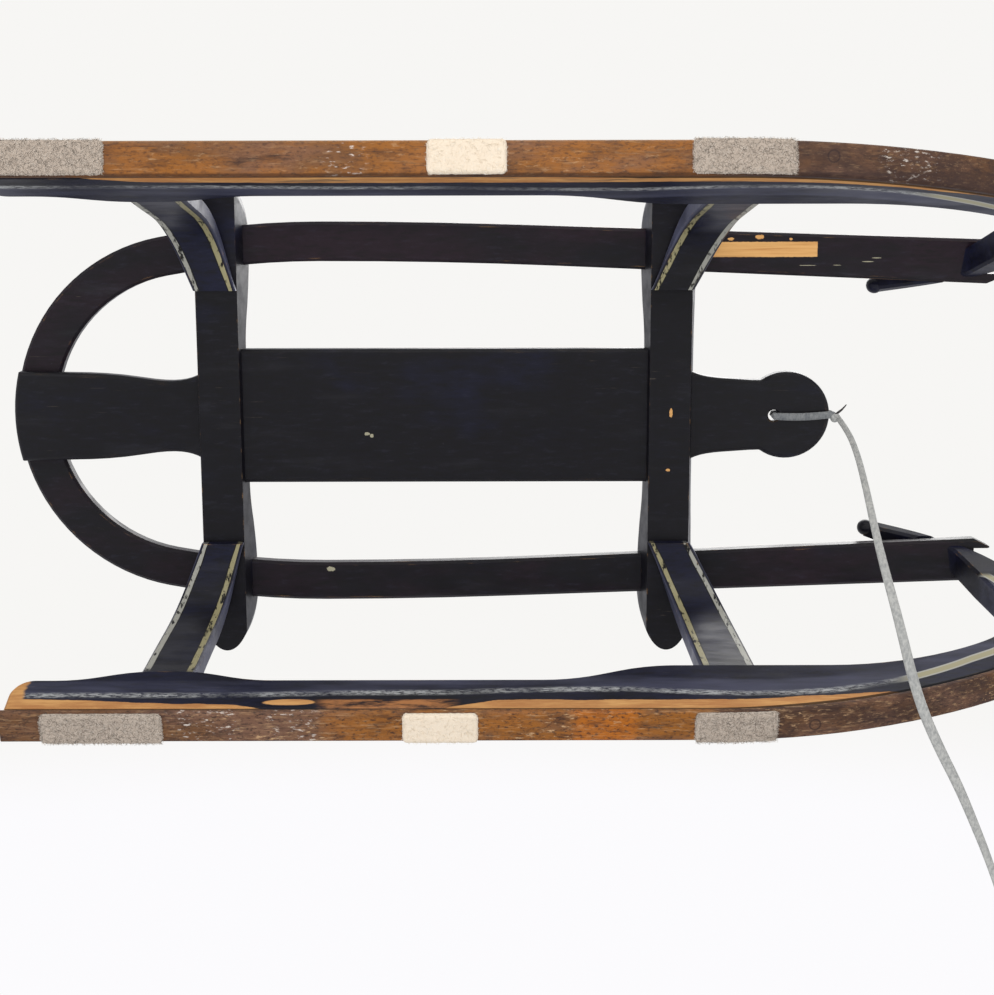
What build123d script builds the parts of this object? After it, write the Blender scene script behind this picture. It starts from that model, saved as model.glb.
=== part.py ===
from build123d import *
import math
import os

os.makedirs("parts", exist_ok=True)

# Child's wooden sled, standing on its runners.
# Lengths are millimetres and angles are degrees.
# X points to the front, Y to the rider's left, Z up; z = 0 is the ground under the felt pads.
# The origin is the middle of the sled's length and width, on the ground.

# Driving dimensions
overall_length = 736.0
runner_gauge = 362.5
runner_lean = 22.5
sole_tilt = 12.0
seat_underside = 171.0
beam_spacing = 323.0
beam_mid_x = -57.0

# Felt pads under the shoes
pad_thick = 2.5
pad_width = 23.0
rear_pad_length = 80.0
middle_pad_length = 50.0
front_pad_short = 54.0
front_pad_long = 64.0

# Runner planks and their iron shoes, measured in the leaning plane of the plank
runner_width = 22.0
shoe_thick = 3.6
shoe_edge_cut = 1.3
plank_height = 35.0
rear_swell_height = 44.5
front_height = 50.0
plank_chamfer = 1.8
runner_tail_x = -340.0
shoe_tail_reach = 3.0
tail_round = 15.0
swell_top_length = 40.0
swell_ramp_length = 38.0
swell_blend_radius = 110.0
front_ramp_start_x = 30.0
front_ramp_length = 50.0
front_blend_radius = 130.0

# The nose of each runner bends up and back into a horn with a round tip
nose_inner_radius = 42.0
nose_inner_shift = 6.0
nose_depth = 30.0
nose_centre_height = 115.0
outer_rise_angle = 25.0
inner_rise_angle = 28.0
nose_end_angle = 110.0
shoe_end_angle = 100.0
horn_stem_length = 52.0
horn_bend_radius = 30.0
horn_bend_angle = 46.0
horn_reach = 50.0
horn_depth = 9.0
horn_width = 9.0
horn_ball_radius = 6.0

# Seat hoop: one flat bent strip that makes the back and both side rails
strip_width = 28.0
strip_front_width = 31.5
strip_thick = 12.0
strip_chamfer = 2.0
hoop_back_radius = 130.0
rail_wide_half = 138.5
rail_wide_x = -147.0
side_radius = 4000.0
rail_front_half = 124.5
rail_front_x = 344.0
tongue_width = 7.5
tongue_bevel = 6.5
tongue_bevel_length = 13.0
lap_x = 332.0

# Middle slat
slat_thick = 10.0
slat_half = 48.5
slat_tail_half = 32.5
slat_neck_half = 29.0
slat_front_neck_half = 25.4
slat_chamfer = 2.0
knob_radius = 31.4
knob_centre_x = 189.0
cord_hole_radius = 4.0
cord_hole_back = 9.0
tail_neck_share = 0.55
front_neck_share = 0.7
neck_swell_share = 1.04

# Cross beams
beam_half_length = 173.0
beam_foot_width = 29.6
beam_mid_width = 36.5
beam_top_width = 40.0
beam_web = 6.0
beam_end_length = 45.0
beam_end_drop = 14.0
end_round_share = 0.62
end_fall_share = 0.3

# Knees, the four bent brackets between beams and runners
knee_width = 30.0
knee_foot_width = 37.0
knee_inner_y = 91.0
knee_end_thick = 8.5
knee_thick = 14.0
knee_corner_cut = 2.0
knee_sink = 6.0
knee_splay_rear = -22.0
knee_splay_front = 31.0

# Stations of a knee: share of the way out, share of the way down, heading below level, share of thickness
knee_shares = [
    (0.00, 0.00, 0, 0.60),
    (0.32, 0.02, 8, 0.75),
    (0.62, 0.12, 42, 0.95),
    (0.80, 0.34, 66, 1.00),
    (0.92, 0.64, 76, 1.00),
    (1.00, 1.00, 80, 1.00),
]

# Every cutting body runs this far past what it cuts
overrun = 5.0

# An edge runs level, or along its piece, if its slope that way is under this share
level_share = 0.1
along_share = 0.5

# Pull cord, and the coil of its length that is put away beside the sled
cord_diameter = 4.4
cord_sides = 8
cord_gap = 0.3
knot_radius = 5.0
coil_turns_across = 3
coil_layers = 2
coil_mid_radius = 24.4
coil_lead_length = 20.0
tie_length = 7.0
tie_thick = 1.2
end_knot_radius = 4.2
knot_chamfer_share = 0.45
arc_share = 0.45

# The cord's route from the knot down to the ground, under the raised front of the left runner
# and out to the coil: x, y, z
cord_route = [
    (225.5, 1.0, 163.9),
    (229.5, 8.0, 145.2),
    (231.2, 21.0, 117.0),
    (230.6, 40.0, 81.6),
    (230.0, 61.0, 48.2),
    (231.0, 80.5, 21.6),
    (234.5, 100.0, 6.0),
    (240.5, 123.0, 2.2),
    (247.0, 147.0, 2.2),
    (255.5, 171.5, 2.2),
    (267.0, 196.0, 2.2),
    (280.0, 220.5, 2.2),
    (291.5, 246.0, 2.2),
    (303.0, 273.0, 2.2),
    (314.0, 303.7, 2.2),
]

# Heights that follow from the values above
tilt = math.radians(sole_tilt)
across = Vector(0, math.cos(tilt), math.sin(tilt))
shoe_bottom = pad_thick + pad_width / 2 * math.sin(tilt)
rail_bottom = shoe_bottom + seat_underside
rail_top = rail_bottom + strip_thick
slat_bottom = rail_bottom - slat_thick
beam_bottom = slat_bottom - beam_web
beam_rear_x = beam_mid_x - beam_spacing / 2
beam_front_x = beam_mid_x + beam_spacing / 2
lean_run = math.tan(math.radians(runner_lean))
lean_rise = math.cos(math.radians(runner_lean))
up_slope = Vector(0, -math.sin(math.radians(runner_lean)), lean_rise)
nose_outer_radius = nose_inner_radius + nose_inner_shift + nose_depth
nose_x = overall_length / 2
nose_centre_x = nose_x - nose_outer_radius
hoop_centre_x = hoop_back_radius - overall_length / 2
tongue_y = rail_front_half - strip_front_width + tongue_width


def leaning_plane():
    """The plane of the left runner: its Y runs up the slope, its origin is the shoe's mid bottom."""
    return Plane(
        origin=(0, runner_gauge / 2, shoe_bottom),
        x_dir=(1, 0, 0),
        z_dir=Vector(1, 0, 0).cross(up_slope),
    )


def plank(face, width):
    """Extrude a face of the leaning plane along the sole's tilt, half the width to each side."""
    moved = face.moved(Location(across * (-width / 2)))
    return extrude(moved, amount=width, dir=across)


def around(centre, radius, heading):
    """The point of a circle where its counter-clockwise tangent has this heading."""
    turn = math.radians(heading)
    return Vector(centre) + Vector(radius * math.sin(turn), -radius * math.cos(turn))


def ahead(point, heading, length):
    turn = math.radians(heading)
    return Vector(point) + Vector(length * math.cos(turn), length * math.sin(turn))


def bottom_arc(offset):
    """Radius and start of the long rise of the sole, for a line that far above the shoe's bottom."""
    entry = around((nose_centre_x, nose_centre_height), nose_outer_radius, outer_rise_angle)
    drop = 1 - math.cos(math.radians(outer_rise_angle))
    radius = entry.Y / drop
    start_x = entry.X - radius * math.sin(math.radians(outer_rise_angle))
    return radius - offset, start_x


def plank_face():
    """Outline of the wooden plank with its swells, nose and horn."""
    nose_centre = (nose_centre_x, nose_centre_height)
    inner_centre = (nose_centre_x + nose_inner_shift, nose_centre_height)
    inner_entry = around(inner_centre, nose_inner_radius, inner_rise_angle)
    inner_drop = 1 - math.cos(math.radians(inner_rise_angle))
    inner_radius = (inner_entry.Y - front_height) / inner_drop
    ramp_end_x = inner_entry.X - inner_radius * math.sin(math.radians(inner_rise_angle))
    sole_radius, rise_x = bottom_arc(shoe_thick)
    swell_x = beam_rear_x + knee_splay_rear
    swell_half = swell_top_length / 2
    with BuildSketch() as outline:
        with BuildLine():
            top = FilletPolyline(
                (runner_tail_x, shoe_thick),
                (runner_tail_x, plank_height),
                (swell_x - swell_half - swell_ramp_length, plank_height),
                (swell_x - swell_half, rear_swell_height),
                (swell_x + swell_half, rear_swell_height),
                (swell_x + swell_half + swell_ramp_length, plank_height),
                (front_ramp_start_x, plank_height),
                (front_ramp_start_x + front_ramp_length, front_height),
                (ramp_end_x, front_height),
                radius=[tail_round] + [swell_blend_radius] * 4 + [front_blend_radius] * 2,
            )
            rise = JernArc(top @ 1, (1, 0), inner_radius, inner_rise_angle)
            bend = JernArc(rise @ 1, rise % 1, nose_inner_radius, nose_end_angle - inner_rise_angle)
            stem_end = ahead(bend @ 1, nose_end_angle, horn_stem_length)
            stem = Line(bend @ 1, stem_end)
            curl = JernArc(stem @ 1, stem % 1, horn_bend_radius, horn_bend_angle)
            horn_heading = nose_end_angle + horn_bend_angle
            tip = ahead(curl @ 1, horn_heading, horn_reach)
            Line(curl @ 1, tip)
            crown = ahead(tip, horn_heading - 90, horn_depth)
            Line(tip, crown)
            nose_out = around(nose_centre, nose_outer_radius - shoe_thick, nose_end_angle)
            Spline(
                crown,
                nose_out,
                tangents=[ahead((0, 0), horn_heading, -1), ahead((0, 0), nose_end_angle, -1)],
            )
            sole_entry = around(nose_centre, nose_outer_radius - shoe_thick, outer_rise_angle)
            nose_mid_angle = (nose_end_angle + outer_rise_angle) / 2
            nose_mid = around(nose_centre, nose_outer_radius - shoe_thick, nose_mid_angle)
            ThreePointArc(nose_out, nose_mid, sole_entry)
            sole = JernArc((rise_x, shoe_thick), (1, 0), sole_radius, outer_rise_angle)
            Line(sole @ 0, (runner_tail_x, shoe_thick))
        make_face()
    return outline.sketch, tip, crown


def horn_ball(tip, crown):
    middle = (tip + crown) / 2
    place = leaning_plane().from_local_coords(Vector(middle.X, middle.Y, 0))
    place -= across * ((runner_width - horn_width) / 2)
    return Pos(*place) * Rot(0, 0, 180) * Sphere(horn_ball_radius)


def runner_blank(edge_cut):
    """The left runner plank, with its horn narrowed on the outside and a ball at the tip."""
    face, tip, crown = plank_face()
    flat = leaning_plane() * face.faces()[0]
    body = plank(flat, runner_width)
    if edge_cut > 0:
        body = chamfer(
            body.edges().filter_by(lambda edge: abs(edge.tangent_at(0.5).dot(across)) < along_share),
            edge_cut,
        )
    plane = leaning_plane()
    stem_foot = plane.from_local_coords(Vector(nose_x - nose_depth, nose_centre_height, 0))
    horn_tip = plane.from_local_coords(Vector(tip.X, tip.Y, 0))
    outer = across * (runner_width / 2)
    narrowed = across * (horn_width - runner_width / 2)
    along = (horn_tip + narrowed) - (stem_foot + outer)
    normal = along.cross(up_slope).normalized()
    shave = Plane(origin=stem_foot + outer, x_dir=along, z_dir=normal if normal.Y > 0 else -normal)
    waste = shave * Box(
        overall_length, overall_length, runner_gauge, align=(Align.CENTER, Align.CENTER, Align.MIN)
    )
    above = Pos(0, 0, shoe_bottom + nose_centre_height * lean_rise) * Box(
        2 * overall_length, 2 * overall_length, overall_length, align=(Align.CENTER, Align.CENTER, Align.MIN)
    )
    body = body - (waste & above)
    return body + horn_ball(tip, crown)


def shoe_blank():
    """The half-round iron shoe under the left plank, carried round the nose."""
    nose_centre = (nose_centre_x, nose_centre_height)
    sole_radius, rise_x = bottom_arc(0)
    tail_x = runner_tail_x - shoe_tail_reach
    mid_angle = (shoe_end_angle + outer_rise_angle) / 2
    wood_radius = nose_outer_radius - shoe_thick
    with BuildSketch() as outline:
        with BuildLine():
            Line((tail_x, 0), (rise_x, 0))
            JernArc((rise_x, 0), (1, 0), sole_radius, outer_rise_angle)
            ThreePointArc(
                around(nose_centre, nose_outer_radius, outer_rise_angle),
                around(nose_centre, nose_outer_radius, mid_angle),
                around(nose_centre, nose_outer_radius, shoe_end_angle),
            )
            Line(
                around(nose_centre, nose_outer_radius, shoe_end_angle),
                around(nose_centre, wood_radius, shoe_end_angle),
            )
            ThreePointArc(
                around(nose_centre, wood_radius, shoe_end_angle),
                around(nose_centre, wood_radius, mid_angle),
                around(nose_centre, wood_radius, outer_rise_angle),
            )
            JernArc((rise_x, shoe_thick), (1, 0), sole_radius - shoe_thick, outer_rise_angle)
            Line((rise_x, shoe_thick), (tail_x, shoe_thick))
            Line((tail_x, shoe_thick), (tail_x, 0))
        make_face()
    flat = leaning_plane() * outline.sketch.faces()[0]
    body = plank(flat, runner_width)
    sole = body.faces().filter_by(lambda face: face.normal_at().X - face.normal_at().Z > along_share)
    rims = sole.edges().filter_by(lambda edge: abs(edge.tangent_at(0.5).dot(across)) < along_share)
    return chamfer(rims, shoe_edge_cut)


def pad_blank(start_x, length):
    """A strip of felt on the sole; past the start of the rise it follows the bend."""
    sole_radius, rise_x = bottom_arc(0)
    end_x = start_x + length
    bend_x = max(start_x, rise_x)
    thick = pad_thick / lean_rise
    centre = (rise_x, sole_radius)
    turns = [
        math.degrees(math.asin(max(0, x - rise_x) / sole_radius))
        for x in (bend_x, (bend_x + end_x) / 2, end_x)
    ]
    with BuildSketch() as outline:
        with BuildLine():
            for depth in (0, thick):
                if start_x < rise_x:
                    Line((start_x, -depth), (min(rise_x, end_x), -depth))
                if end_x > rise_x:
                    ThreePointArc(*[around(centre, sole_radius + depth, turn) for turn in turns])
            for x in (start_x, end_x):
                turn = math.degrees(math.asin(max(0, x - rise_x) / sole_radius))
                level_x = min(x, rise_x)
                foot = (level_x, sole_radius)
                Line(around(foot, sole_radius, turn), around(foot, sole_radius + thick, turn))
        make_face()
    flat = leaning_plane() * outline.sketch.faces()[0]
    return plank(flat, pad_width)


def strip_edge(inset, front_inset):
    """One side of the seat strip's outline, from the back's middle to the front end."""
    back_radius = hoop_back_radius - inset
    gap_x = rail_wide_x - hoop_centre_x
    sweep_radius = (gap_x**2 + rail_wide_half**2 - hoop_back_radius**2) / (
        2 * (rail_wide_half - hoop_back_radius)
    )
    reach = sweep_radius - hoop_back_radius
    joint_x = hoop_centre_x - back_radius * gap_x / reach
    joint_y = back_radius * (sweep_radius - rail_wide_half) / reach
    back_turn = math.atan2(joint_y, joint_x - hoop_centre_x)
    half_turn = (math.pi + back_turn) / 2
    half_point = (
        hoop_centre_x + back_radius * math.cos(half_turn),
        back_radius * math.sin(half_turn),
    )
    ThreePointArc((hoop_centre_x - back_radius, 0), half_point, (joint_x, joint_y))
    sweep = sweep_radius - inset
    side_turn = (back_turn + math.pi / 2) / 2
    side_point = (
        rail_wide_x + sweep * math.cos(side_turn),
        rail_wide_half - sweep_radius + sweep * math.sin(side_turn),
    )
    wide = (rail_wide_x, rail_wide_half - inset)
    ThreePointArc((joint_x, joint_y), side_point, wide)
    front = (rail_front_x, rail_front_half - front_inset)
    radius = side_radius - inset
    run = rail_front_x - rail_wide_x
    rise = front[1] - (wide[1] - radius)
    turn = math.atan2(rise, run) + math.acos(radius / math.hypot(run, rise))
    middle_turn = (turn + math.pi / 2) / 2
    middle, touch = [
        (rail_wide_x + radius * math.cos(t), wide[1] - radius + radius * math.sin(t))
        for t in (middle_turn, turn)
    ]
    ThreePointArc(wide, middle, touch)
    Line(touch, front)


def strip_prism(extra):
    """The square-edged seat strip, taller by extra where it cuts notches."""
    back_x = hoop_centre_x - hoop_back_radius
    with BuildSketch(Plane.XY.offset(rail_bottom)) as outline:
        with BuildLine():
            strip_edge(0, 0)
            strip_edge(strip_width, strip_front_width)
            Line((back_x, 0), (back_x + strip_width, 0))
            Line((rail_front_x, rail_front_half), (rail_front_x, rail_front_half - strip_front_width))
        make_face()
        mirror(about=Plane.XZ)
    return extrude(outline.sketch, amount=strip_thick + extra)


def level_edges(body):
    return body.edges().filter_by(lambda edge: abs(edge.tangent_at(0.5).Z) < level_share)


def slat_half_line():
    """Left edge of the slat, from the back of the hoop to the knob."""
    back_x = hoop_centre_x - math.sqrt(hoop_back_radius**2 - slat_tail_half**2)
    shoulder = beam_foot_width / 2
    meet = math.sqrt(knob_radius**2 - slat_front_neck_half**2)
    tail_run = beam_rear_x - back_x
    nose_run = knob_centre_x - meet - beam_front_x
    Spline(
        (back_x, slat_tail_half),
        (back_x + tail_run * tail_neck_share, slat_neck_half),
        (beam_rear_x - shoulder, (slat_neck_half + slat_tail_half) / 2),
        (beam_rear_x + shoulder, slat_half),
        tangents=[(tail_run, (slat_neck_half - slat_tail_half) * 2), (1, 0)],
    )
    Line((beam_rear_x + shoulder, slat_half), (beam_front_x - shoulder, slat_half))
    Spline(
        (beam_front_x - shoulder, slat_half),
        (beam_front_x + shoulder, slat_tail_half),
        (beam_front_x + nose_run * front_neck_share, slat_front_neck_half * neck_swell_share),
        (knob_centre_x - meet, slat_front_neck_half),
        tangents=[(1, 0), (1, 0)],
    )


def slat_prism(extra):
    meet = math.sqrt(knob_radius**2 - slat_front_neck_half**2)
    back_x = hoop_centre_x - math.sqrt(hoop_back_radius**2 - slat_tail_half**2)
    turn = math.atan2(slat_tail_half, back_x - hoop_centre_x)
    half_turn = (math.pi + turn) / 2
    back_point = (
        hoop_centre_x + hoop_back_radius * math.cos(half_turn),
        hoop_back_radius * math.sin(half_turn),
    )
    with BuildSketch(Plane.XY.offset(slat_bottom)) as outline:
        with BuildLine():
            slat_half_line()
            ThreePointArc(
                (knob_centre_x - meet, slat_front_neck_half),
                (knob_centre_x, knob_radius),
                (knob_centre_x + knob_radius, 0),
            )
            Line((knob_centre_x + knob_radius, 0), (hoop_centre_x - hoop_back_radius, 0))
            ThreePointArc((hoop_centre_x - hoop_back_radius, 0), back_point, (back_x, slat_tail_half))
        make_face()
        mirror(about=Plane.XZ)
    return extrude(outline.sketch, amount=slat_thick + extra)


def slat_blank():
    body = slat_prism(0)
    body = chamfer(level_edges(body).group_by(Axis.Z)[0], slat_chamfer)
    hole_x = knob_centre_x - cord_hole_back
    hole = Pos(hole_x, 0, slat_bottom + slat_thick / 2) * Cylinder(cord_hole_radius, 2 * slat_thick)
    return body - hole


def beam_blank(beam_x):
    """A cross beam: flared flanks, a low middle, high shoulders at the rails and oval ends."""
    shoulder_y = rail_wide_half - strip_width / 2
    round_y = beam_half_length - beam_end_length
    with BuildSketch(Plane.XY.offset(beam_bottom - overrun)) as plan:
        with BuildLine():
            Line((0, 0), (beam_mid_width / 2, 0))
            Line((beam_mid_width / 2, 0), (beam_mid_width / 2, slat_half))
            Spline(
                (beam_mid_width / 2, slat_half),
                (beam_top_width / 2, shoulder_y),
                (beam_top_width / 2, round_y),
                tangents=[(0, 1), (0, 1)],
            )
            EllipticalCenterArc(
                (0, round_y), beam_top_width / 2, beam_end_length, start_angle=0, arc_size=90
            )
            Line((0, beam_half_length), (0, 0))
        make_face()
        mirror(about=Plane.YZ)
        mirror(about=Plane.XZ)
    full = extrude(plan.sketch, amount=rail_top - beam_bottom + 2 * overrun)
    with BuildSketch(Plane.XZ) as section:
        Polygon(
            (-beam_foot_width / 2, beam_bottom),
            (beam_foot_width / 2, beam_bottom),
            (beam_top_width / 2, rail_top),
            (-beam_top_width / 2, rail_top),
            align=None,
        )
    flanks = extrude(section.sketch, amount=beam_half_length + overrun, both=True)
    with BuildSketch(Plane.YZ) as front:
        with BuildLine():
            Line((0, beam_bottom), (beam_half_length, beam_bottom))
            Line((beam_half_length, beam_bottom), (beam_half_length, rail_top - beam_end_drop))
            ThreePointArc(
                (beam_half_length, rail_top - beam_end_drop),
                (round_y + beam_end_length * end_round_share, rail_top - beam_end_drop * end_fall_share),
                (round_y, rail_top),
            )
            Line((round_y, rail_top), (shoulder_y - strip_width / 2, rail_top))
            Spline(
                (shoulder_y - strip_width / 2, rail_top),
                (slat_half, rail_bottom),
                tangents=[(-1, 0), (-1, 0)],
            )
            Line((slat_half, rail_bottom), (0, rail_bottom))
            Line((0, rail_bottom), (0, beam_bottom))
        make_face()
        mirror(about=Plane.YZ)
    height = extrude(front.sketch, amount=beam_top_width, both=True)
    return Pos(beam_x, 0, 0) * (full & flanks & height)


def knee_blank(beam_x, splay, runner_height):
    """A bent bracket of the left side, lofted through sections that lean with its curve."""
    foot_z = shoe_bottom + runner_height * lean_rise - knee_sink
    foot_y = runner_gauge / 2 - runner_width / 2 - (foot_z - shoe_bottom) * lean_run
    top_z = beam_bottom - knee_end_thick
    faces = []
    for out_share, down_share, heading, thick_share in knee_shares:
        out = knee_inner_y + (foot_y - knee_inner_y) * out_share
        down = top_z + (foot_z - top_z) * down_share
        turn = math.radians(heading)
        thick = knee_thick * thick_share
        width = knee_width + (knee_foot_width - knee_width) * out_share
        middle = (
            beam_x + splay * out_share,
            out + thick / 2 * math.sin(turn),
            down + thick / 2 * math.cos(turn),
        )
        place = Plane(origin=middle, x_dir=(1, 0, 0), z_dir=(0, math.cos(turn), -math.sin(turn)))
        section = Rectangle(width, thick)
        faces.append(place * chamfer(section.vertices(), knee_corner_cut))
    return loft([face.faces()[0] for face in faces])


def mirrored(solid):
    return mirror(solid, about=Plane.XZ)


def rail_end_waste():
    """What the rails lose where they halve into the runners, leaving a bevelled inner tongue."""
    reach = overall_length
    beyond = Pos(lap_x, tongue_y, 0) * Box(reach, reach, reach, align=(Align.MIN, Align.MIN, Align.CENTER))
    outside = Pos(0, tongue_y, 0) * Box(
        2 * reach, reach, reach, align=(Align.CENTER, Align.MIN, Align.CENTER)
    )
    inner_y = tongue_y - tongue_width
    with BuildSketch(Plane.XY.offset(rail_bottom - overrun)) as corner:
        Polygon(
            (rail_front_x - tongue_bevel_length, inner_y),
            (rail_front_x, inner_y),
            (rail_front_x, inner_y + tongue_bevel),
            align=None,
        )
    bevel = extrude(corner.sketch, amount=strip_thick + 2 * overrun)
    return beyond + (runner_blank(0) & outside) + bevel


def tongue_notch():
    """The open notch in the runner's inner side, as deep as the tongue is wide and as tall as it."""
    return Pos(0, tongue_y, rail_bottom) * Box(
        overall_length, overall_length, strip_thick, align=(Align.MIN, Align.MAX, Align.MIN)
    )


def cord_loop_ring():
    """The loop of cord through the hole, closed round the front edge of the knob."""
    half = cord_diameter / 2
    back_x = knob_centre_x - cord_hole_back
    front_x = knob_centre_x + knob_radius + cord_gap + half
    low_z = slat_bottom - cord_gap - half
    high_z = rail_bottom + cord_gap + half
    corner = half + cord_gap
    with BuildLine(Plane.XZ) as path:
        Line((back_x, low_z + corner), (back_x, high_z - corner))
        RadiusArc((back_x, high_z - corner), (back_x + corner, high_z), corner)
        Line((back_x + corner, high_z), (front_x - corner, high_z))
        RadiusArc((front_x - corner, high_z), (front_x, high_z - corner), corner)
        Line((front_x, high_z - corner), (front_x, low_z + corner))
        RadiusArc((front_x, low_z + corner), (front_x - corner, low_z), corner)
        Line((front_x - corner, low_z), (back_x + corner, low_z))
        RadiusArc((back_x + corner, low_z), (back_x, low_z + corner), corner)
    start = Plane(origin=(back_x, 0, (low_z + high_z) / 2), x_dir=(1, 0, 0), z_dir=(0, 0, 1))
    return sweep(start * RegularPolygon(half, cord_sides), path=path.wires()[0])


def knot(place, radius):
    body = Cylinder(radius, 2 * radius)
    return Pos(*place) * chamfer(body.edges(), radius * knot_chamfer_share)


def pull_cord():
    """The tube of the stretch that isn't coiled: straight runs joined by arcs as large as fit."""
    points = [Vector(place) for place in cord_route]
    radii = []
    for before, point, after in zip(points, points[1:], points[2:]):
        run_in = point - before
        run_out = after - point
        half_turn = math.radians(run_in.get_angle(run_out)) / 2
        radii.append(arc_share * min(run_in.length, run_out.length) / math.tan(half_turn))
    path = FilletPolyline(*points, radius=radii)
    print("cord length", round(path.length), "smallest arc", round(min(radii)))
    start = Plane(origin=path @ 0, z_dir=path % 0)
    return sweep(start * RegularPolygon(cord_diameter / 2, cord_sides), path=path)


def coil_place():
    """Where the cord joins the coil's outer turn, and the coil's centre."""
    end = Vector(cord_route[-1])
    heading = (end - Vector(cord_route[-2])).normalized()
    joint = end + heading * coil_lead_length
    outer_turn = coil_mid_radius + (coil_turns_across - 1) / 2 * cord_diameter
    side = Vector(heading.Y, -heading.X)
    return end, heading, joint + side * outer_turn


def cord_coil():
    """The outer shape of the coil, with the short straight lead that meets the cord."""
    end, heading, centre = coil_place()
    half_width = coil_turns_across / 2 * cord_diameter
    height = coil_layers * cord_diameter
    middle = Pos(centre.X, centre.Y, height / 2)
    ring = middle * Cylinder(coil_mid_radius + half_width, height)
    ring -= middle * Cylinder(coil_mid_radius - half_width, height + 2 * overrun)
    lead = Plane(origin=(end.X, end.Y, cord_gap), x_dir=heading, z_dir=(0, 0, 1)) * Pos(0, -cord_gap, 0) * Box(
        coil_lead_length,
        cord_diameter,
        cord_diameter - 2 * cord_gap,
        align=(Align.MIN, Align.CENTER, Align.MIN),
    )
    return ring + lead


def cord_tie():
    """A short wrap over the coil, on the side away from the lead."""
    end, heading, centre = coil_place()
    across = coil_turns_across * cord_diameter + 2 * tie_thick
    height = coil_layers * cord_diameter + tie_thick
    turn = math.degrees(math.atan2(-heading.X, heading.Y))
    return Pos(centre.X, centre.Y, 0) * Rot(0, 0, turn) * Pos(coil_mid_radius, 0, 0) * Box(
        across, tie_length, height, align=(Align.CENTER, Align.CENTER, Align.MIN)
    )


def end_knot():
    """The knot at the cord's end, lying against the coil."""
    end, heading, centre = coil_place()
    reach = coil_mid_radius + coil_turns_across / 2 * cord_diameter + end_knot_radius - cord_gap
    place = centre + heading * reach
    return knot((place.X, place.Y, end_knot_radius), end_knot_radius)


end_waste = rail_end_waste()
hoop_body = strip_prism(0)
hoop = chamfer(level_edges(hoop_body), strip_chamfer) - end_waste - mirrored(end_waste)
slat = slat_blank()
runner = runner_blank(plank_chamfer) - (hoop_body - end_waste) - tongue_notch()
shoe = shoe_blank()
nodes = {
    "runner_left": runner,
    "runner_right": mirrored(runner),
    "shoe_left": shoe,
    "shoe_right": mirrored(shoe),
    "seat_hoop": hoop,
    "seat_slat": slat,
}

# Each beam is notched for the rails and the slat, each knee is cut to its beam and its runner
for place, beam_x, splay, height in (
    ("rear", beam_rear_x, knee_splay_rear, rear_swell_height),
    ("front", beam_front_x, knee_splay_front, front_height),
):
    beam = beam_blank(beam_x) - strip_prism(overrun) - slat_prism(overrun)
    knee = knee_blank(beam_x, splay, height) - beam - runner
    nodes[f"beam_{place}"] = beam
    nodes[f"knee_{place}_left"] = knee
    nodes[f"knee_{place}_right"] = mirrored(knee)

# Felt pads: side, place, back end as a share of the overall length, length
for side, place, back_share, length in (
    ("left", "rear", -0.430, rear_pad_length),
    ("left", "middle", -0.111, middle_pad_length),
    ("left", "front", 0.147, front_pad_short),
    ("right", "rear", -0.460, rear_pad_length),
    ("right", "middle", -0.085, middle_pad_length),
    ("right", "front", 0.136, front_pad_long),
):
    pad = pad_blank(back_share * overall_length, length)
    nodes[f"pad_{place}_{side}"] = pad if side == "left" else mirrored(pad)

loop = cord_loop_ring()
hole_knot = knot(cord_route[0], knot_radius)
nodes["cord_loop"] = loop
nodes["cord_knot"] = hole_knot - loop - slat
nodes["pull_cord"] = pull_cord() - hole_knot
coil = cord_coil()
nodes["cord_coil"] = coil
nodes["cord_tie"] = cord_tie() - coil
nodes["cord_end_knot"] = end_knot() - coil

for name, solid in nodes.items():
    export_step(solid, f"parts/{name}.step")
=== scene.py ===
import bpy
import bmesh
import math
import random
from mathutils import Matrix, Vector, noise


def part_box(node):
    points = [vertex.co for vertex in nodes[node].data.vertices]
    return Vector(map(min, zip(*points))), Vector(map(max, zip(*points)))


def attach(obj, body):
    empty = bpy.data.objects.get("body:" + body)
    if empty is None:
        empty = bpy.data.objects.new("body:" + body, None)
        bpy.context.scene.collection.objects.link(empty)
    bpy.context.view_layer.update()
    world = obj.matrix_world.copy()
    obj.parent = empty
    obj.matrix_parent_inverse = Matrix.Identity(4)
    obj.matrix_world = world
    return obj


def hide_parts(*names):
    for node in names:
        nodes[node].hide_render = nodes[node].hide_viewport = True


# Looks of the child's sled. Lengths are metres in the row frame: X front, Y left, Z up.
# The photograph shows the underside of a sled that lies on its left side.
# The sled stands here, so the camera looks up at it from under the ground,
# through a floor that only shows from above.

MM = 0.001

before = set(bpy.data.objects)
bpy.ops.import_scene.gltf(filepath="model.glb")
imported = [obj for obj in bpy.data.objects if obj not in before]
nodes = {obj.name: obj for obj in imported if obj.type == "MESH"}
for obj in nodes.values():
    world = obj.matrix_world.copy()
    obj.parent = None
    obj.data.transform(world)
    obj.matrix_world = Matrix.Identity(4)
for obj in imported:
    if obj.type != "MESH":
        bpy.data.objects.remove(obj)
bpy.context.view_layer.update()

# Where the beams stand along X, read from the frame
rear_beam_x = sum(corner.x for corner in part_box("beam_rear")) / 2
front_beam_x = sum(corner.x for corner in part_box("beam_front")) / 2

# The shape of the runners, as in the part's source
gauge_half = 181.25 * MM
lean = math.radians(22.5)
sole_height = 4.89 * MM
rise_angle = math.radians(25.0)
nose_x = 290.0 * MM
nose_height = 115.0 * MM
nose_radius = 78.0 * MM
rise_radius = (nose_height - nose_radius * math.cos(rise_angle)) / (1 - math.cos(rise_angle))
rise_x = nose_x + (nose_radius - rise_radius) * math.sin(rise_angle)
sole_tilt = math.radians(12.0)

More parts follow.
